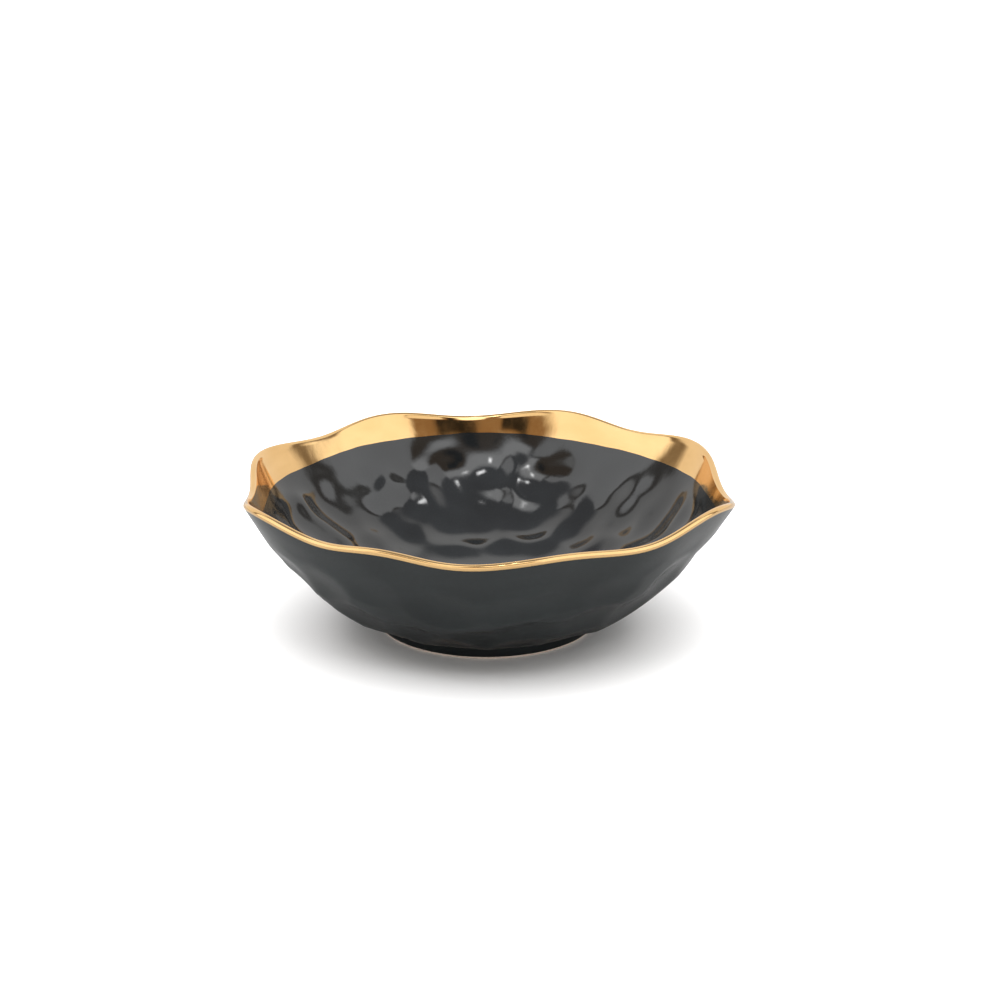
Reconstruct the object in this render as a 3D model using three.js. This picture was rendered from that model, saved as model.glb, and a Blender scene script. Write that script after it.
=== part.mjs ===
// Serving bowl of glazed ceramic with a waved, gilded rim. Millimetres, +Z up.
// The bowl's axis is x = y = 0 and it stands on z = 0. -Y is its front.
//
// It is turned round like a pot and its wall is then drawn into waves that grow towards the lip.
// Six pieces: the fired body, the foot ring under it, three coats of glaze and the gilding. Each coat
// lies flush with the finished surface, in a step that the body leaves for it.

import * as THREE from "three";
import { mergeVertices } from "three/addons/utils/BufferGeometryUtils.js";

// Lip: a full round on the wall's end. Its centre line goes through one point every 15 degrees,
// counted from +X towards +Y.
const LIP_RADIUS = 1.65;
const RIM_RADII = [
  97, 98, 98.5, 95.5, 96.5, 100, 100, 100, 100.5, 96.5, 96, 99,
  96.5, 100, 103, 96.5, 95, 95.5, 102, 100, 97.5, 100.5, 103.5, 103,
];
const RIM_HEIGHTS = [
  57.5, 61.5, 63.5, 60.5, 62, 62, 58.5, 60, 62, 60, 62, 64.5,
  61.5, 60.5, 64, 59, 60, 59, 60, 61.5, 59.5, 60.5, 65, 60,
];

// Mean section of the wall, before it is waved.
const LIP_CENTRE = new THREE.Vector2(98.5, 61.5);
const LIP_SLOPE = THREE.MathUtils.degToRad(66);
const OUTSIDE_SWELL = new THREE.Vector2(63, 9);
const OUTSIDE_REACH = 34.5;
const FLOOR_HEIGHT = 9;
const FLOOR_REACH = 60;
const INSIDE_REACH = 36;
const WAVE_POWER = 1.6;

// Foot ring.
const FOOT_HEIGHT = 5;
const FOOT_RADIUS = 45.5;
const FOOT_WIDTH = 5.8;
const FOOT_BEVEL = 0.5;
const BARE_FOOT = 1;

// Coats: all equally thick, with a narrow gap to whatever they lie on or end against.
const COAT = 0.5;
const GAP = 0.25;
const GILDED_DOWN_TO = 53;
const GILDED_OUTSIDE = 0.3;

// Steps of the mesh round the axis and along each stretch of the section.
const STEPS_ROUND = 96;
const STEPS_GLAZED_INSIDE = 7;
const STEPS_GILDED_INSIDE = 3;
const STEPS_LIP = 4;
const STEPS_OUTSIDE = 7;
const STEPS_SOLVER = 30;
const TINY = 1e-4;

const ANGLES = Array.from({ length: STEPS_ROUND }, (_, step) => (2 * Math.PI * step) / STEPS_ROUND);

// Materials.

function finish(color, roughness, metalness) {
  return new THREE.MeshStandardMaterial({ color, roughness, metalness });
}

const biscuit = finish(0xd9c3b0, 0.85, 0);
const glossGlaze = finish(0x0b0c0d, 0.08, 0);
const satinGlaze = finish(0x14191a, 0.35, 0);
const goldLustre = finish(0xe3a94f, 0.15, 1);

// The waves.

// Smooth closed curve through values that are equally spaced round a circle.
function around(values, angle) {
  const count = values.length;
  return values.reduce((sum, value, k) => {
    const half = (angle - (2 * Math.PI * k) / count) / 2;
    const share = Math.abs(Math.sin(half)) < TINY ? 1 : Math.sin(count * half) / (count * Math.tan(half));
    return sum + value * share;
  }, 0);
}

// How far the waves move a point whose height in the mean section is given: nothing up to the level of
// the floor, all of the rim's own wave at the lip.
function wave(height, angle) {
  const rise = THREE.MathUtils.clamp((height - FLOOR_HEIGHT) / (LIP_CENTRE.y - FLOOR_HEIGHT), 0, 1);
  const share = rise ** WAVE_POWER;
  return new THREE.Vector2(
    share * (around(RIM_RADII, angle) - LIP_CENTRE.x),
    share * (around(RIM_HEIGHTS, angle) - LIP_CENTRE.y),
  );
}

// The mean section. A station is a point of the finished surface and the normal that leaves the clay.

const lipTangent = new THREE.Vector2(Math.cos(LIP_SLOPE), Math.sin(LIP_SLOPE));
const lipNormal = new THREE.Vector2(lipTangent.y, -lipTangent.x);
const lipOutside = LIP_CENTRE.clone().addScaledVector(lipNormal, LIP_RADIUS);
const lipInside = LIP_CENTRE.clone().addScaledVector(lipNormal, -LIP_RADIUS);

const outsideCurve = new THREE.CubicBezierCurve(
  new THREE.Vector2(FOOT_RADIUS, FOOT_HEIGHT),
  OUTSIDE_SWELL,
  lipOutside.clone().addScaledVector(lipTangent, -OUTSIDE_REACH),
  lipOutside,
);

const insideCurve = new THREE.CubicBezierCurve(
  new THREE.Vector2(0, FLOOR_HEIGHT),
  new THREE.Vector2(FLOOR_REACH, FLOOR_HEIGHT),
  lipInside.clone().addScaledVector(lipTangent, -INSIDE_REACH),
  lipInside,
);

function outsideStation(along) {
  const tangent = outsideCurve.getTangent(along);
  return { point: outsideCurve.getPoint(along), normal: new THREE.Vector2(tangent.y, -tangent.x) };
}

function insideStation(along) {
  const tangent = insideCurve.getTangent(along);
  return { point: insideCurve.getPoint(along), normal: new THREE.Vector2(-tangent.y, tangent.x) };
}

function lipStation(along) {
  const normal = lipNormal.clone().rotateAround(new THREE.Vector2(), Math.PI * along);
  return { point: LIP_CENTRE.clone().addScaledVector(normal, LIP_RADIUS), normal };
}

// Station of a corner between two straight or smooth stretches: its normal is the mitre.
function cornerStation(radius, height, normalBefore, normalAfter) {
  const mitre = normalBefore.clone().add(normalAfter);
  mitre.divideScalar(1 + normalBefore.dot(normalAfter));
  return { point: new THREE.Vector2(radius, height), normal: mitre };
}

function plainStation(radius, height, normal) {
  return { point: new THREE.Vector2(radius, height), normal };
}

// Where along the inside curve the waved wall reaches a height, by halving.
function insideAtHeight(height, angle) {
  let low = 0;
  let high = 1;
  for (let step = 0; step < STEPS_SOLVER; step += 1) {
    const middle = (low + high) / 2;
    const base = insideCurve.getPoint(middle).y;
    if (base + wave(base, angle).y < height) {
      low = middle;
    } else {
      high = middle;
    }
  }
  return (low + high) / 2;
}

// Rows. A row gives the station that it has at each angle, and a list of rows is a stretch of the
// section, going up the outside, over the lip and down the inside.

function evenShares(steps) {
  return Array.from({ length: steps + 1 }, (_, step) => step / steps);
}

const down = new THREE.Vector2(0, -1);
const outwards = new THREE.Vector2(1, 0);
const inwards = new THREE.Vector2(-1, 0);

// The outside curve covers this much of its length per millimetre where it runs into the lip.
const perMillimetre = 1 / (3 * OUTSIDE_REACH);
const gildingEnd = 1 - GILDED_OUTSIDE * perMillimetre;
const outsideGlazeEnd = gildingEnd - GAP * perMillimetre;
const wallRows = evenShares(STEPS_OUTSIDE).map((share) => () => outsideStation(share * outsideGlazeEnd));

const gildedLipRows = [
  () => outsideStation(gildingEnd),
  ...evenShares(STEPS_LIP).map((share) => () => lipStation(share)),
];

const gildedInsideRows = evenShares(STEPS_GILDED_INSIDE).slice(1).map((share) => (angle) => {
  const edge = insideAtHeight(GILDED_DOWN_TO + GAP / 2, angle);
  return insideStation(THREE.MathUtils.lerp(1, edge, share));
});

const glazedInsideRows = evenShares(STEPS_GLAZED_INSIDE).map((share) => (angle) => {
  const edge = insideAtHeight(GILDED_DOWN_TO - GAP / 2, angle);
  return insideStation(THREE.MathUtils.lerp(edge, 0, share));
});

const footCorner = cornerStation(FOOT_RADIUS, FOOT_HEIGHT, outwards, outsideStation(0).normal);
const footSideRows = [
  () => plainStation(FOOT_RADIUS, BARE_FOOT, outwards),
  () => footCorner,
];

const wellRadius = FOOT_RADIUS - FOOT_WIDTH;
const wellRows = [
  () => plainStation(0, FOOT_HEIGHT, down),
  () => cornerStation(wellRadius, FOOT_HEIGHT, down, inwards),
  () => plainStation(wellRadius, BARE_FOOT, inwards),
];

// Places a row's stations in space, sunk into the clay by a depth.
function placed(rows, depth) {
  return rows.map((row) => ANGLES.map((angle) => {
    const { point, normal } = row(angle);
    const shift = wave(point.y, angle);
    const radius = point.x - depth * normal.x + shift.x;
    const height = point.y - depth * normal.y + shift.y;
    return new THREE.Vector3(radius * Math.cos(angle), radius * Math.sin(angle), height);
  }));
}

// A closed solid round the axis, from rings of points in order round its section. The quads of its
// buried side are split the other way, so that their facets match those of the clay beneath them.
function solid(name, material, rings, buriedFrom = rings.length) {
  const corners = [];
  const addTriangle = (a, b, c) => {
    const flat = [a.distanceTo(b), b.distanceTo(c), c.distanceTo(a)].some((side) => side < TINY);
    if (!flat) {
      corners.push(a, b, c);
    }
  };
  rings.forEach((ring, k) => {
    const next = rings[(k + 1) % rings.length];
    ring.forEach((corner, step) => {
      const beside = (step + 1) % STEPS_ROUND;
      const quad = [corner, ring[beside], next[beside], next[step]];
      if (k >= buriedFrom) {
        quad.push(quad.shift());
      }
      addTriangle(quad[0], quad[1], quad[2]);
      addTriangle(quad[0], quad[2], quad[3]);
    });
  });
  const geometry = mergeVertices(new THREE.BufferGeometry().setFromPoints(corners), TINY);
  geometry.computeVertexNormals();
  const mesh = new THREE.Mesh(geometry, material);
  mesh.name = name;
  return mesh;
}

// A coat over a stretch of the section: the finished surface one way, its buried side back.
function coat(name, material, rows) {
  return solid(name, material, [...placed(rows, 0), ...placed(rows, COAT).reverse()], rows.length);
}

function bowlBody() {
  const underside = [() => plainStation(0, FOOT_HEIGHT, down)];
  const rows = [
    ...underside,
    ...wallRows,
    ...gildedLipRows,
    ...gildedInsideRows,
    ...glazedInsideRows.slice(1),
  ];
  return solid("bowl_body", biscuit, placed(rows, COAT + GAP));
}

function footRing() {
  const outer = FOOT_RADIUS - COAT - GAP;
  const inner = wellRadius + COAT + GAP;
  const top = FOOT_HEIGHT + COAT;
  const section = [
    [inner, top],
    [inner, FOOT_BEVEL],
    [inner + FOOT_BEVEL, 0],
    [outer - FOOT_BEVEL, 0],
    [outer, FOOT_BEVEL],
    [outer, top],
  ];
  const rows = section.map(([radius, height]) => () => plainStation(radius, height, down));
  return solid("foot_ring", biscuit, placed(rows, 0));
}

const bowl = new THREE.Group();
bowl.name = "bowl";
bowl.add(
  bowlBody(),
  footRing(),
  coat("inner_glaze", glossGlaze, glazedInsideRows),
  coat("outer_glaze", satinGlaze, [...footSideRows, ...wallRows.slice(1)]),
  coat("foot_well_glaze", satinGlaze, wellRows),
  coat("rim_gilding", goldLustre, [...gildedLipRows, ...gildedInsideRows]),
);

export default bowl;
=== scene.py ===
"""Looks of a black glazed bowl with a waved, gilded rim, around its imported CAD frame.

Every piece is built from the same section and waves as its CAD node, with the hammered dents, the brushed
edge of the gold and the rounded foot that the plain CAD solids leave out. Shapes are worked out in
millimetres and become metres in loft().
"""

import math

import bpy
import numpy as np
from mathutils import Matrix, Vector

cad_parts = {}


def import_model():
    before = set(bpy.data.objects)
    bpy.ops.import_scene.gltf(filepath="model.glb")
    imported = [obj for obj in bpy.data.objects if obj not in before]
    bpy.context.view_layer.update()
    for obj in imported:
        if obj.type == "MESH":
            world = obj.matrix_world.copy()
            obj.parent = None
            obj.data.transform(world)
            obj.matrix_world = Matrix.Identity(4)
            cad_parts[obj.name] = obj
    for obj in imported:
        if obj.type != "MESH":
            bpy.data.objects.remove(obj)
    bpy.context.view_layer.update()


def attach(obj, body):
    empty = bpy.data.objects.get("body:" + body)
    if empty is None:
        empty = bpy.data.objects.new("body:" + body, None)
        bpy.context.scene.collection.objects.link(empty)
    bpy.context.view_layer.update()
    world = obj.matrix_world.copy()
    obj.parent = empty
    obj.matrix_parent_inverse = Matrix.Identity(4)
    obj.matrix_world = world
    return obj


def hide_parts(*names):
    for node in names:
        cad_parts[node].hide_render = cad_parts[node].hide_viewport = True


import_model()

# Lip: centre line through one point every 15 degrees, counted from +X towards +Y. Its round is a little
# finer than the CAD's, which has flats on it, so that the smooth lip stays inside the same box.
LIP_RADIUS = 1.45
RIM_RADII = [
    97, 98, 98.5, 95.5, 96.5, 100, 100, 100, 100.5, 96.5, 96, 99,
    96.5, 100, 103, 96.5, 95, 95.5, 102, 100, 97.5, 100.5, 103.5, 103,
]
RIM_HEIGHTS = [
    57.5, 61.5, 63.5, 60.5, 62, 62, 58.5, 60, 62, 60, 62, 64.5,
    61.5, 60.5, 64, 59, 60, 59, 60, 61.5, 59.5, 60.5, 65, 60,
]

# Mean section of the wall, as (radius, height), before it is waved.
LIP_CENTRE = np.array([98.5, 61.5])
LIP_SLOPE = math.radians(66)
OUTSIDE_SWELL = np.array([63.0, 9.0])
OUTSIDE_REACH = 34.5
FLOOR_HEIGHT = 9
FLOOR_REACH = 60
INSIDE_REACH = 36
WAVE_POWER = 1.6

# Foot ring. A row of its side just under the wall keeps the shading of the corner tight.
FOOT_HEIGHT = 5
FOOT_RADIUS = 45.5
FOOT_WIDTH = 5.8
FOOT_ROUNDING = 0.9
BARE_FOOT = 1
ROW_UNDER_WALL = 1.2

# Coats, and the rounded edge that they end in above the bare foot. The knee is the middle of that edge, as
# a share of its size.
COAT = 0.4
COAT_EDGE = 0.3
COAT_EDGE_KNEE = 0.3

# Gilding: how far it comes down outside, and the level that its brushed edge keeps to inside. Each brush
# wave is (share, waves round the bowl, phase).
GILDED_OUTSIDE = 0.3
GILDED_DOWN_TO = 53
BRUSH_WANDER = 0.09
BRUSH_WAVES = [(1, 9, 0), (0.7, 23, 1.3), (0.5, 47, 4.1)]

# Unevenness of the gilded band. Each sway is (waves round the bowl, turn for each millimetre up, phase).
BAND_UNEVENNESS = 0.12
BAND_SWAYS = [(11, 0.09, 0), (17, 0, 2)]

# Relief: scattered dents that are 1 deep in their middle and 0 where the squared distance from it is
# DENT_REACH of the squared spacing. Their mean depth is taken off, so that the wall keeps its place.
SEED = 7
FIRST_RING = 0.4
RING_PITCH = 0.86
JITTER = 0.28
DENT_REACH = 0.3
MEAN_DEPTH = 0.6

# Hammered dents inside.
DENT_SPACING = 20
DENT_SPREAD = 0.08
DENT_DEPTH = 2.1
DENT_SOFTNESS = 70
DENTS_END_OVER_GOLD_LINE = 2
DENT_FADE = 18
FLOOR_DENTS = 0.45
FLOOR_RISE = 14

# Broad hollows outside, which are wider than they are tall.
HOLLOW_SPACING = 26
HOLLOW_SPREAD = 0.1
HOLLOW_DEPTH = 2.0
HOLLOW_LIMIT = 1.2
HOLLOW_SOFTNESS = 70
HOLLOW_FLATTENING = np.array([1, 1, 1.4])
HOLLOWS_END_UNDER_LIP = 4
HOLLOW_LIP_FADE = 26
HOLLOW_FOOT_FADE = 5

# Mesh steps.
STEPS_ROUND = 336
STEPS_GLAZED_INSIDE = 96
STEPS_GILDED_INSIDE = 12
STEPS_LIP = 14
STEPS_GILDED_OUTSIDE = 2
STEPS_OUTSIDE = 84
STEPS_WELL = 14
POINTS_ROUNDING = 5
CURVE_SAMPLES = 400
HALVINGS = 30

ANGLES = np.arange(STEPS_ROUND) * 2 * math.pi / STEPS_ROUND
SHARP_ANGLE = math.radians(40)
MILLIMETRE = 0.001
TINY = 1e-4


# ---------------------------------------------------------------- section and waves

def around(values, angles):
    """Smooth closed curve through values that are equally spaced round a circle."""
    count = len(values)
    total = np.zeros_like(angles)
    for k, value in enumerate(values):
        half = (angles - 2 * math.pi * k / count) / 2
        at_station = np.abs(np.sin(half)) < TINY
        safe = np.where(at_station, 1.0, half)
        share = np.where(at_station, 1.0, np.sin(count * safe) / (count * np.tan(safe)))
        total += value * share
    return total


RIM_WAVE = np.stack([around(RIM_RADII, ANGLES), around(RIM_HEIGHTS, ANGLES)], axis=-1) - LIP_CENTRE


def wave_share(height):
    """Share of the rim's wave at a height of the mean section: 0 up to the floor's level, 1 at the lip."""
    return np.clip((height - FLOOR_HEIGHT) / (LIP_CENTRE[1] - FLOOR_HEIGHT), 0, 1) ** WAVE_POWER


def bezier(points, along):
    """Point and unit tangent of a cubic Bezier curve."""
    p0, p1, p2, p3 = points
    t = np.asarray(along, dtype=float)[..., None]
    point = (1 - t) ** 3 * p0 + 3 * t * (1 - t) ** 2 * p1 + 3 * t ** 2 * (1 - t) * p2 + t ** 3 * p3
    slope = (1 - t) ** 2 * (p1 - p0) + 2 * t * (1 - t) * (p2 - p1) + t ** 2 * (p3 - p2)
    return point, slope / np.linalg.norm(slope, axis=-1, keepdims=True)


LIP_TANGENT = np.array([math.cos(LIP_SLOPE), math.sin(LIP_SLOPE)])
LIP_NORMAL = np.array([LIP_TANGENT[1], -LIP_TANGENT[0]])
LIP_OUTSIDE = LIP_CENTRE + LIP_RADIUS * LIP_NORMAL
LIP_INSIDE = LIP_CENTRE - LIP_RADIUS * LIP_NORMAL
OUTSIDE_CURVE = (
    np.array([FOOT_RADIUS, FOOT_HEIGHT]),
    OUTSIDE_SWELL,
    LIP_OUTSIDE - OUTSIDE_REACH * LIP_TANGENT,
    LIP_OUTSIDE,
)
INSIDE_CURVE = (
    np.array([0.0, FLOOR_HEIGHT]),
    np.array([FLOOR_REACH, FLOOR_HEIGHT]),
    LIP_INSIDE - INSIDE_REACH * LIP_TANGENT,
    LIP_INSIDE,
)


# Each of these gives points of the finished surface and the normals that leave the clay.

def outside(along):
    point, tangent = bezier(OUTSIDE_CURVE, along)
    return point, np.stack([tangent[..., 1], -tangent[..., 0]], axis=-1)


def inside(along):
    point, tangent = bezier(INSIDE_CURVE, along)
    return point, np.stack([-tangent[..., 1], tangent[..., 0]], axis=-1)


def lip(along):
    turn = math.atan2(LIP_NORMAL[1], LIP_NORMAL[0]) + math.pi * np.asarray(along, dtype=float)
    normal = np.stack([np.cos(turn), np.sin(turn)], axis=-1)
    return LIP_CENTRE + LIP_RADIUS * normal, normal


def inside_at_height(height):
    """Where along the inside curve the waved wall reaches a height at every angle, by halving."""
    low = np.zeros(STEPS_ROUND)
    high = np.ones(STEPS_ROUND)
    for _ in range(HALVINGS):
        middle = (low + high) / 2
        base = inside(middle)[0][:, 1]
        below = base + wave_share(base) * RIM_WAVE[:, 1] < height
        low = np.where(below, middle, low)
        high = np.where(below, high, middle)
    return (low + high) / 2


def space(point, normal, depth):
    """Places section points, shape (rows, angles, 2), in space, sunk into the clay by a depth."""
    shift = wave_share(point[..., 1])[..., None] * RIM_WAVE
    moved = point - np.asarray(depth)[..., None] * normal + shift
    x = moved[..., 0] * np.cos(ANGLES)
    y = moved[..., 0] * np.sin(ANGLES)
    return np.stack([x, y, moved[..., 1]], axis=-1)


# ---------------------------------------------------------------- relief

def smooth(share):
    share = np.clip(share, 0, 1)
    return share * share * (3 - 2 * share)


def scattered(curve, spacing, random):
    """Dent centres on a curve of the mean section: jittered rings, about a spacing apart."""
    fine = curve(np.linspace(0, 1, CURVE_SAMPLES))[0]
    length = np.concatenate([[0], np.cumsum(np.linalg.norm(np.diff(fine, axis=0), axis=1))])
    centres = []
    for ring_at in np.arange(FIRST_RING * spacing, length[-1], RING_PITCH * spacing):
        ring_radius = np.interp(ring_at, length, fine[:, 0])
        count = max(1, round(2 * math.pi * ring_radius / spacing))
        phase = random.random()
        for k in range(count):
            at = ring_at + spacing * random.uniform(-JITTER, JITTER)
            angle = 2 * math.pi * (k + phase + random.uniform(-JITTER, JITTER)) / count
            radius = np.interp(at, length, fine[:, 0])
            height = np.interp(at, length, fine[:, 1])
            centres.append([radius * math.cos(angle), radius * math.sin(angle), height])
    return np.array(centres)


def hammered(points, centres, sizes, spacing, softness):
    """1 in the middle of a dent, about 0 on the soft ridges between dents."""
    flat = points.reshape(-1, 3)
    square = (flat ** 2).sum(1)[:, None] + (centres ** 2).sum(1)[None] - 2 * flat @ centres.T
    square = square + sizes[None]
    nearest = square.min(axis=1)
    blended = nearest - softness * np.log(np.exp((nearest[:, None] - square) / softness).sum(axis=1))
    return (1 - blended / (DENT_REACH * spacing ** 2)).reshape(points.shape[:-1])


random = np.random.default_rng(SEED)
DENTS = scattered(inside, DENT_SPACING, random)
DENT_SIZES = random.uniform(-DENT_SPREAD, DENT_SPREAD, len(DENTS)) * DENT_SPACING ** 2
HOLLOWS = scattered(outside, HOLLOW_SPACING, random)
HOLLOW_SIZES = random.uniform(-HOLLOW_SPREAD, HOLLOW_SPREAD, len(HOLLOWS)) * HOLLOW_SPACING ** 2


def inside_relief(points):
    """Depth of the dents, shallow on the floor and gone under the gilded band, which sways a little."""
    height = points[..., 2]
    angle = np.arctan2(points[..., 1], points[..., 0])
    under_gold = smooth((GILDED_DOWN_TO + DENTS_END_OVER_GOLD_LINE - height) / DENT_FADE)
    off_floor = smooth((height - FLOOR_HEIGHT) / FLOOR_RISE)
    fade = under_gold * (FLOOR_DENTS + (1 - FLOOR_DENTS) * off_floor)
    dents = hammered(points, DENTS, DENT_SIZES, DENT_SPACING, DENT_SOFTNESS)
    sway = sum(np.sin(waves * angle + turn * height + phase) for waves, turn, phase in BAND_SWAYS)
    return DENT_DEPTH * fade * (dents - MEAN_DEPTH) + BAND_UNEVENNESS * (1 - under_gold) * sway


def outside_relief(points):
    """Depth of the broad hollows, which die away under the lip and at the foot."""
    height = points[..., 2]
    lip_fade = smooth((LIP_CENTRE[1] - HOLLOWS_END_UNDER_LIP - height) / HOLLOW_LIP_FADE)
    foot_fade = smooth((height - FOOT_HEIGHT) / HOLLOW_FOOT_FADE)
    flattened = points * HOLLOW_FLATTENING
    centres = HOLLOWS * HOLLOW_FLATTENING
    hollows = hammered(flattened, centres, HOLLOW_SIZES, HOLLOW_SPACING, HOLLOW_SOFTNESS)
    return HOLLOW_DEPTH * lip_fade * foot_fade * (np.clip(hollows, 0, HOLLOW_LIMIT) - MEAN_DEPTH)


def no_relief(points):
    return np.zeros(points.shape[:-1])


# ---------------------------------------------------------------- stretches of the section

def stretch(section, along, relief):
    """Rows of one curve, as a function from depth to rings of points. Each row has one place along the
    curve, or one for every angle."""
    along = np.broadcast_to(along.reshape(len(along), -1), (len(along), STEPS_ROUND))
    point, normal = section(along)
    sunk = relief(space(point, normal, np.zeros(along.shape)))

    def rings(depth):
        return list(space(point, normal, sunk + depth))

    return rings


def plain(radius, height, normal):
    """One round row off the curves: a corner or a straight side."""
    point = np.broadcast_to(np.array([radius, height], dtype=float), (1, STEPS_ROUND, 2))
    normal = np.broadcast_to(np.array(normal, dtype=float), (1, STEPS_ROUND, 2))
    return lambda depth: list(space(point, normal, np.full((1, STEPS_ROUND), float(depth))))


def shares(steps):
    return np.linspace(0, 1, steps + 1)


# Where the outside curve ends, its parameter grows by 1 in three times its reach.
GILDING_END = 1 - GILDED_OUTSIDE / (3 * OUTSIDE_REACH)
brush = sum(share * np.sin(waves * ANGLES + phase) for share, waves, phase in BRUSH_WAVES)
gold_edge = inside_at_height(GILDED_DOWN_TO + BRUSH_WANDER * brush)
band_shares = shares(STEPS_GILDED_INSIDE)[1:, None]
glazed_shares = shares(STEPS_GLAZED_INSIDE)[:, None]

wall = stretch(outside, shares(STEPS_OUTSIDE) * GILDING_END, outside_relief)
gilded_wall = stretch(outside, np.linspace(GILDING_END, 1, STEPS_GILDED_OUTSIDE + 1)[:-1], no_relief)
gilded_lip = stretch(lip, shares(STEPS_LIP), no_relief)
gilded_inside = stretch(inside, 1 + (gold_edge - 1) * band_shares, inside_relief)
glazed_inside = stretch(inside, gold_edge * (1 - glazed_shares), inside_relief)


# ---------------------------------------------------------------- meshes

def loft(name, rings):
    """A closed mesh round the axis, from rings in order round its section. A ring on the axis is a point."""
    vertices = []
    index = []
    for ring in rings:
        start = len(vertices)
        if np.hypot(ring[:, 0], ring[:, 1]).max() < TINY:
            vertices.append(ring.mean(axis=0))
            index.append([start] * STEPS_ROUND)
        else:
            vertices.extend(ring)
            index.append(list(range(start, start + STEPS_ROUND)))
    faces = []
    for here, above in zip(index, index[1:] + index[:1]):
        for step in range(STEPS_ROUND):
            beside = (step + 1) % STEPS_ROUND
            corners = (here[step], here[beside], above[beside], above[step])
            face = tuple(dict.fromkeys(corners))
            if len(face) > 2:
                faces.append(face)
    mesh = bpy.data.meshes.new(name)
    mesh.from_pydata([tuple(v) for v in np.array(vertices) * MILLIMETRE], [], faces)
    mesh.shade_smooth()
    mesh.set_sharp_from_angle(angle=SHARP_ANGLE)
    mesh.validate()
    piece = bpy.data.objects.new(name, mesh)
    bpy.context.scene.collection.objects.link(piece)
    return piece


def coat(name, *stretches):
    """A coat over stretches of the section: the finished surface one way, its buried side back."""
    finished = [ring for rings in stretches for ring in rings(0)]
    buried = [ring for rings in stretches for ring in rings(COAT)]
    return loft(name, finished + buried[::-1])


def rounded(radius, height, turn_from, turn_to, size):
    """Points of a section's rounded corner, as (radius, height)."""
    turns = np.radians(np.linspace(turn_from, turn_to, POINTS_ROUNDING))
    return [(radius + size * math.cos(turn), height + size * math.sin(turn)) for turn in turns]


def turned(name, section):
    """A closed plain solid of revolution."""
    rings = []
    for radius, height in section:
        x = radius * np.cos(ANGLES)
        y = radius * np.sin(ANGLES)
        rings.append(np.stack([x, y, np.full(STEPS_ROUND, float(height))], axis=-1))
    return loft(name, rings)


# ---------------------------------------------------------------- materials

class Nodes:
    """A material's node tree, with short calls for the nodes that it needs."""

    def __init__(self, name):
        self.material = bpy.data.materials.new(name)
        self.material.use_nodes = True
        self.tree = self.material.node_tree
        self.shader = self.tree.nodes["Principled BSDF"]
        self.place = self.tree.nodes.new("ShaderNodeTexCoord").outputs["Object"]

    def noise(self, scale, detail, stretched=(1, 1, 1)):
        mapping = self.tree.nodes.new("ShaderNodeMapping")
        mapping.inputs["Scale"].default_value = stretched
        self.tree.links.new(self.place, mapping.inputs["Vector"])
        node = self.tree.nodes.new("ShaderNodeTexNoise")
        node.inputs["Scale"].default_value = scale
        node.inputs["Detail"].default_value = detail
        self.tree.links.new(mapping.outputs["Vector"], node.inputs["Vector"])
        return node.outputs["Fac"]

    def ramp(self, value, *stops):
        """A colour for a value, from stops of (value, colour)."""
        node = self.tree.nodes.new("ShaderNodeValToRGB")
        elements = node.color_ramp.elements
        while len(elements) < len(stops):
            elements.new(0.5)
        for element, (position, colour) in zip(elements, stops):
            element.position = position
            element.color = (*colour, 1)
        self.tree.links.new(value, node.inputs["Fac"])
        return node.outputs["Color"]

    def range(self, value, low, high, new_low, new_high):
        node = self.tree.nodes.new("ShaderNodeMapRange")
        node.inputs["From Min"].default_value = low
        node.inputs["From Max"].default_value = high
        node.inputs["To Min"].default_value = new_low
        node.inputs["To Max"].default_value = new_high
        self.tree.links.new(value, node.inputs["Value"])
        return node.outputs["Result"]

    def bump(self, height, distance, under=None):
        """A bumped normal; the distance is in metres."""
        node = self.tree.nodes.new("ShaderNodeBump")
        node.inputs["Strength"].default_value = 1
        node.inputs["Distance"].default_value = distance
        self.tree.links.new(height, node.inputs["Height"])
        if under is not None:
            self.tree.links.new(under, node.inputs["Normal"])
        return node.outputs["Normal"]

    def feed(self, **outputs):
        """Links outputs to the shader's sockets, named with _ for a space."""
        for name, output in outputs.items():
            self.tree.links.new(output, self.shader.inputs[name.replace("_", " ")])

    def set(self, **values):
        """Sets the shader's own sockets."""
        for name, value in values.items():
            self.shader.inputs[name].default_value = value


def gloss_black_glaze():
    """Deep gloss, with a faint orange peel."""
    nodes = Nodes("gloss_black_glaze")
    colour = nodes.ramp(nodes.noise(35, 3), (0.35, (0.0045, 0.005, 0.0055)), (0.7, (0.009, 0.0105, 0.0115)))
    roughness = nodes.range(nodes.noise(90, 2), 0.3, 0.7, 0.07, 0.12)
    peel = nodes.bump(nodes.noise(260, 2), 0.00003)
    nodes.feed(Base_Color=colour, Roughness=roughness, Normal=peel)
    nodes.set(IOR=1.7)
    return nodes.material


def satin_black_glaze():
    """Slate black, softly clouded, with a fine grain over a slow ripple."""
    nodes = Nodes("satin_black_glaze")
    colour = nodes.ramp(nodes.noise(28, 4), (0.3, (0.0055, 0.0075, 0.008)), (0.72, (0.0085, 0.0115, 0.012)))
    roughness = nodes.range(nodes.noise(60, 3), 0.3, 0.7, 0.18, 0.27)
    grain = nodes.bump(nodes.noise(1400, 2), 0.000008)
    ripple = nodes.bump(nodes.noise(180, 2), 0.00002, under=grain)
    nodes.feed(Base_Color=colour, Roughness=roughness, Normal=ripple)
    nodes.set(IOR=1.47)
    return nodes.material


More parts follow.
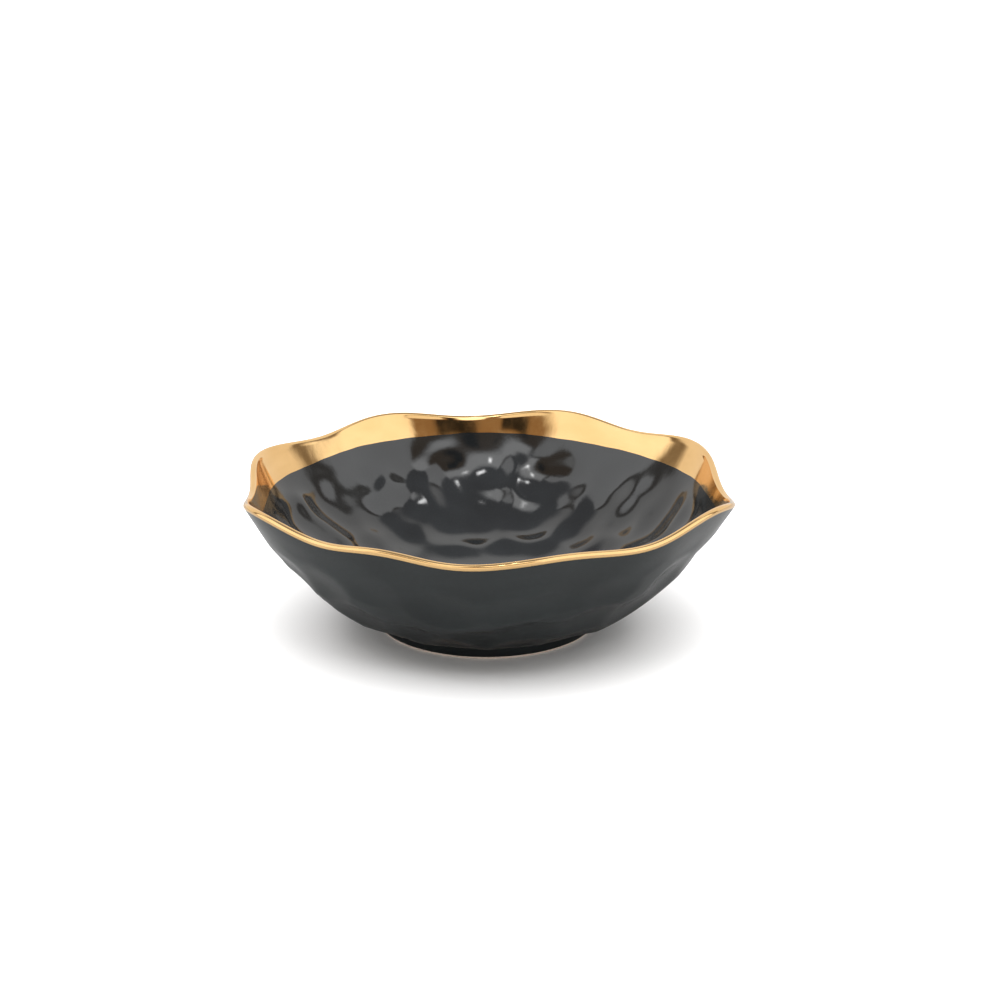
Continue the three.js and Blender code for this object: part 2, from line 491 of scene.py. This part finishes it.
def gold_lustre():
    """Bright metal, unevenly laid by hand, with fine brush streaks."""
    nodes = Nodes("gold_lustre")
    cloud = nodes.noise(40, 4, (1, 1, 2.5))
    colour = nodes.ramp(cloud, (0.3, (0.82, 0.52, 0.225)), (0.7, (0.91, 0.60, 0.28)))
    roughness = nodes.range(nodes.noise(220, 3, (1, 1, 0.3)), 0.35, 0.7, 0.06, 0.14)
    streaks = nodes.bump(nodes.noise(420, 2, (1, 1, 0.25)), 0.000008)
    ripple = nodes.bump(nodes.noise(90, 2), 0.00003, under=streaks)
    nodes.feed(Base_Color=colour, Roughness=roughness, Normal=ripple)
    nodes.set(Metallic=1.0)
    return nodes.material


def biscuit():
    """Bare fired clay: matte cream with dark specks."""
    nodes = Nodes("biscuit")
    speck = (0.3, (0.42, 0.31, 0.24))
    clay = (0.4, (0.66, 0.54, 0.46))
    pale_clay = (0.7, (0.74, 0.63, 0.55))
    colour = nodes.ramp(nodes.noise(1900, 2), speck, clay, pale_clay)
    nodes.feed(Base_Color=colour, Normal=nodes.bump(nodes.noise(2600, 3), 0.00008))
    nodes.set(Roughness=0.85)
    return nodes.material


# ---------------------------------------------------------------- pieces

def finish_piece(piece, material, node):
    piece.data.materials.append(material)
    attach(piece, "root")
    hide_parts(node)


def bowl_body():
    """The fired clay under the coats, with the dents in it, from every other row of their buried sides."""
    underside = plain(0, FOOT_HEIGHT, (0, -1))
    coated = (underside, wall, gilded_wall, gilded_lip, gilded_inside)
    rings = [ring for rings in coated for ring in rings(COAT)]
    rings += glazed_inside(COAT)[1:]
    return loft("bowl_body_fired", [rings[0], *rings[1:-1:2], rings[-1]])


def foot_ring():
    """The foot, with rounded bare edges to stand on."""
    outer = FOOT_RADIUS - COAT
    inner = FOOT_RADIUS - FOOT_WIDTH + COAT
    size = FOOT_ROUNDING
    section = [(inner, FOOT_HEIGHT + COAT)]
    section += rounded(inner + size, size, 180, 270, size)
    section += rounded(outer - size, size, 270, 360, size)
    section += [(outer, FOOT_HEIGHT + COAT)]
    return turned("foot_ring_bare", section)


def outer_glaze():
    """Satin coat: a rounded edge above the bare foot, the foot's side, and the wall up to the gold."""
    wall_normal = outside(np.array([0.0]))[1][0]
    mitre = (np.array([1.0, 0.0]) + wall_normal) / (1 + wall_normal[0])
    knee = COAT_EDGE_KNEE * COAT_EDGE
    foot_side = [
        plain(FOOT_RADIUS - COAT_EDGE, BARE_FOOT, (1, 0)),
        plain(FOOT_RADIUS - knee, BARE_FOOT + knee, (1, 0)),
        plain(FOOT_RADIUS, BARE_FOOT + COAT_EDGE, (1, 0)),
        plain(FOOT_RADIUS, FOOT_HEIGHT - ROW_UNDER_WALL, (1, 0)),
        plain(FOOT_RADIUS, FOOT_HEIGHT, mitre),
    ]
    return coat("outer_glaze_coat", *foot_side, lambda depth: wall(depth)[1:])


def foot_well_glaze():
    """Coat of the hollow inside the foot ring."""
    well = FOOT_RADIUS - FOOT_WIDTH
    rows = [plain(0, FOOT_HEIGHT, (0, -1))]
    rows += [plain(well * share, FOOT_HEIGHT, (0, -1)) for share in shares(STEPS_WELL)[1:-1]]
    rows += [
        plain(well, FOOT_HEIGHT, (-1, -1)),
        plain(well, BARE_FOOT + COAT_EDGE, (-1, 0)),
        plain(well + COAT_EDGE, BARE_FOOT, (-1, 0)),
    ]
    return coat("foot_well_glaze_coat", *rows)


gloss = gloss_black_glaze()
satin = satin_black_glaze()
gold = gold_lustre()
clay = biscuit()

finish_piece(bowl_body(), clay, "bowl_body")
finish_piece(foot_ring(), clay, "foot_ring")
finish_piece(coat("inner_glaze_coat", glazed_inside), gloss, "inner_glaze")
finish_piece(outer_glaze(), satin, "outer_glaze")
finish_piece(foot_well_glaze(), satin, "foot_well_glaze")
gilding = coat("rim_gilding_lustre", gilded_wall, gilded_lip, gilded_inside)
finish_piece(gilding, gold, "rim_gilding")


# ---------------------------------------------------------------- studio

CAMERA_DISTANCE = 1.1
CAMERA_ELEVATION = math.radians(18.5)
CAMERA_LENS = 95.4
AIM = Vector((0.0056, 0, 0.053))

# The floor is overexposed, as in a cut-out product picture, but its reflection in the bowl isn't.
FLOOR_HALF = 3
FLOOR_ALBEDO = 0.88
FLOOR_IN_GLOSS = 0.33
FLOOR_ROUGHNESS = 0.7

BACKDROP = (0.97, 0.95, 0.93)
CEILING = (0.33, 0.33, 0.34)
BEHIND_LIGHTS = (0.24, 0.21, 0.18)
SOFTBOX = (1.38, 1.38, 1.38)
FRONT_WALL = (1.1, 1.08, 1.05)
CAMERA_SIDE = (0.29, 0.2, 0.125)
CAMERA_STAND = (0.025, 0.022, 0.02)
TOP_LIGHT = (2.1, 2.1, 2.1)

# Patches of the studio: azimuths (0 in front, 90 right), elevations, width of the soft edge, radiance. Each
# lies over those before it, and the first goes all the way round.
STUDIO = [
    ((-200, 200), (56, 120), 12, CEILING),
    ((-111, 111), (-10, 56), 5, BEHIND_LIGHTS),
    ((-103, -55), (-4, 60), 4, SOFTBOX),
    ((46, 103), (-4, 60), 4, SOFTBOX),
    ((-55, 46), (-10, 32), 5, FRONT_WALL),
    ((-55, 46), (32, 48), 4, CAMERA_SIDE),
    ((-40, -8), (35, 44), 5, CAMERA_STAND),
    ((12, 30), (36, 45), 5, CAMERA_STAND),
    ((-50, 50), (50, 66), 8, TOP_LIGHT),
]

LIGHT_DISTANCE = 1.6
BULB_SIZE = (0.26, 0.26)
BULB_RADIANCE = 12.0
FILL_SIZE = (3.2, 3.2)
FILL_RADIANCE = 3.2

# Colour sockets of a Mix node, by place, as its sockets of other kinds have the same names.
MIX_COLOUR_A = 6
MIX_COLOUR_B = 7
MIX_COLOUR_OUT = 2


def place_facing(made, aim, away, distance):
    """Puts a camera or a light at a distance from its aim and turns it to face it."""
    made.location = aim + distance * away
    made.rotation_mode = "QUATERNION"
    made.rotation_quaternion = (-away).to_track_quat("-Z", "Y")
    bpy.context.scene.collection.objects.link(made)


def camera():
    data = bpy.data.cameras.new("camera")
    data.lens = CAMERA_LENS
    made = bpy.data.objects.new("camera", data)
    away = Vector((0, -math.cos(CAMERA_ELEVATION), math.sin(CAMERA_ELEVATION)))
    place_facing(made, AIM, away, CAMERA_DISTANCE)
    bpy.context.scene.camera = made


def floor():
    half = FLOOR_HALF
    corners = [(-half, -half, 0), (half, -half, 0), (half, half, 0), (-half, half, 0)]
    mesh = bpy.data.meshes.new("floor")
    mesh.from_pydata(corners, [], [(0, 1, 2, 3)])
    made = bpy.data.objects.new("floor", mesh)
    bpy.context.scene.collection.objects.link(made)
    nodes = Nodes("floor")
    seen_in_gloss = nodes.tree.nodes.new("ShaderNodeLightPath").outputs["Is Glossy Ray"]
    nodes.feed(Base_Color=nodes.range(seen_in_gloss, 0, 1, FLOOR_ALBEDO, FLOOR_IN_GLOSS))
    nodes.set(Roughness=FLOOR_ROUGHNESS)
    made.data.materials.append(nodes.material)


def maths(tree, operation, *values):
    """A Math node's result; each value is a number or another node's output."""
    node = tree.nodes.new("ShaderNodeMath")
    node.operation = operation
    for socket, value in zip(node.inputs, values):
        if isinstance(value, (int, float)):
            socket.default_value = value
        else:
            tree.links.new(value, socket)
    return node.outputs[0]


def smooth_step(tree, value, low, high):
    """0 at the low value and 1 at the high one, eased at both ends."""
    node = tree.nodes.new("ShaderNodeMapRange")
    node.interpolation_type = "SMOOTHSTEP"
    node.inputs["From Min"].default_value = low
    node.inputs["From Max"].default_value = high
    tree.links.new(value, node.inputs["Value"])
    return node.outputs["Result"]


def from_middle(tree, value, middle):
    return maths(tree, "ABSOLUTE", maths(tree, "SUBTRACT", value, middle))


def patch(tree, azimuth, elevation, azimuths, elevations, soft):
    """1 in a patch of the studio's sphere and 0 out of it; angles and its soft edge are in degrees."""
    shown = []
    for value, (low, high) in ((azimuth, azimuths), (elevation, elevations)):
        offset = from_middle(tree, value, (low + high) / 2)
        half = (high - low) / 2
        shown.append(smooth_step(tree, offset, half + soft / 2, half - soft / 2))
    return maths(tree, "MULTIPLY", *shown)


def world(all_round, patches):
    """A studio seen from the bowl: a radiance all round, and patches laid over one another."""
    made = bpy.data.worlds.new("studio")
    made.use_nodes = True
    tree = made.node_tree
    direction = tree.nodes.new("ShaderNodeTexCoord").outputs["Generated"]
    split = tree.nodes.new("ShaderNodeSeparateXYZ")
    tree.links.new(direction, split.inputs[0])
    towards_camera = maths(tree, "MULTIPLY", split.outputs["Y"], -1.0)
    azimuth = maths(tree, "DEGREES", maths(tree, "ARCTAN2", split.outputs["X"], towards_camera))
    elevation = maths(tree, "DEGREES", maths(tree, "ARCSINE", split.outputs["Z"]))
    under = None
    for azimuths, elevations, soft, radiance in patches:
        laid = tree.nodes.new("ShaderNodeMix")
        laid.data_type = "RGBA"
        laid.inputs[MIX_COLOUR_A].default_value = (*all_round, 1)
        laid.inputs[MIX_COLOUR_B].default_value = (*radiance, 1)
        shown = patch(tree, azimuth, elevation, azimuths, elevations, soft)
        tree.links.new(shown, laid.inputs["Factor"])
        if under is not None:
            tree.links.new(under, laid.inputs[MIX_COLOUR_A])
        under = laid.outputs[MIX_COLOUR_OUT]
    tree.links.new(under, tree.nodes["Background"].inputs["Color"])
    bpy.context.scene.world = made


def softbox(name, azimuth, elevation, size, radiance, soft_edge, glossy=True):
    """A rectangular light that faces the bowl. Azimuth 0 is in front and 90 right, in degrees, and
    soft_edge is the share of its size over which it fades at each edge."""
    turn = math.radians(azimuth)
    lift = math.radians(elevation)
    away = Vector((math.sin(turn) * math.cos(lift), -math.cos(turn) * math.cos(lift), math.sin(lift)))
    data = bpy.data.lights.new(name, "AREA")
    data.shape = "RECTANGLE"
    data.size, data.size_y = size
    data.energy = radiance * math.pi * size[0] * size[1]
    data.use_nodes = True
    tree = data.node_tree
    geometry = tree.nodes.new("ShaderNodeNewGeometry")
    split = tree.nodes.new("ShaderNodeSeparateXYZ")
    tree.links.new(geometry.outputs["Parametric"], split.inputs[0])
    faded = []
    for axis in ("X", "Y"):
        from_edge = maths(tree, "SUBTRACT", 0.5, from_middle(tree, split.outputs[axis], 0.5))
        faded.append(smooth_step(tree, from_edge, 0, soft_edge))
    tree.links.new(maths(tree, "MULTIPLY", *faded), tree.nodes["Emission"].inputs["Strength"])
    made = bpy.data.objects.new(name, data)
    made.visible_glossy = glossy
    place_facing(made, Vector(), away, LIGHT_DISTANCE)


camera()
floor()
world(BACKDROP, STUDIO)
softbox("bulb_left", -12, 62, BULB_SIZE, BULB_RADIANCE, soft_edge=0.5)
softbox("bulb_right", 24, 78, BULB_SIZE, BULB_RADIANCE, soft_edge=0.5)
softbox("floor_fill", 0, 90, FILL_SIZE, FILL_RADIANCE, soft_edge=0.1, glossy=False)
bpy.context.scene.view_settings.view_transform = "Standard"
